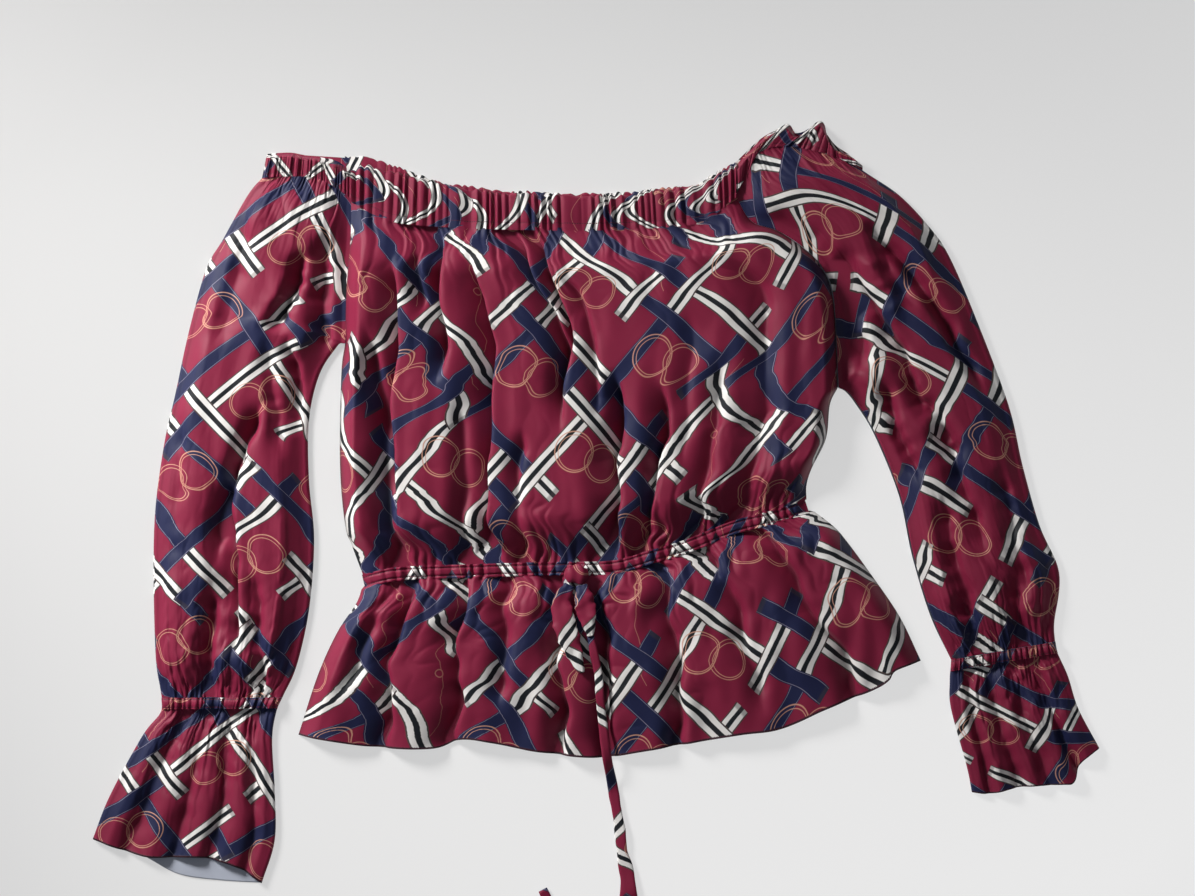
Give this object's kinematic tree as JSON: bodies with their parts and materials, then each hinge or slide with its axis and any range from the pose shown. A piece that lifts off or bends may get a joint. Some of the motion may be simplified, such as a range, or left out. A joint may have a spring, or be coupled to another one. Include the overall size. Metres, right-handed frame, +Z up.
{
  "type": "off-shoulder peasant blouse",
  "caption": "Off-shoulder blouse lying flat, gathered on elastic at neckline, waist and wrists, with flared peplum and cuffs and a small tied bow.",
  "frame": {"origin": "centre of the bounding box of the garment without the free tail of its tie, at the height of the surface it lies on", "axes": "+Z up out of the surface, +Y from the hem to the neckline, +X towards the wearer's left sleeve; the front faces up"},
  "size_m": [0.774, 0.6385, 0.0156],
  "materials": {
    "printed_cloth": "smooth satin-faced polyester, burgundy ground with a ribbon print",
    "tie_cloth": "the same printed cloth, cut as a narrow tie"
  },
  "bodies": {
    "root": {"front_bodice": "printed_cloth", "back_bodice": "printed_cloth", "front_neck_casing": "printed_cloth", "back_neck_casing": "printed_cloth", "right_shoulder_casing": "printed_cloth", "left_shoulder_casing": "printed_cloth", "front_waist_casing": "printed_cloth", "back_waist_casing": "printed_cloth", "front_peplum": "printed_cloth", "back_peplum": "printed_cloth", "right_sleeve": "printed_cloth", "left_sleeve": "printed_cloth", "right_wrist_casing": "printed_cloth", "left_wrist_casing": "printed_cloth", "right_cuff": "printed_cloth", "left_cuff": "printed_cloth", "bow_knot": "tie_cloth", "bow_loop_right": "tie_cloth", "bow_loop_left": "tie_cloth", "tie_tail": "tie_cloth"}
  },
  "joints": []
}
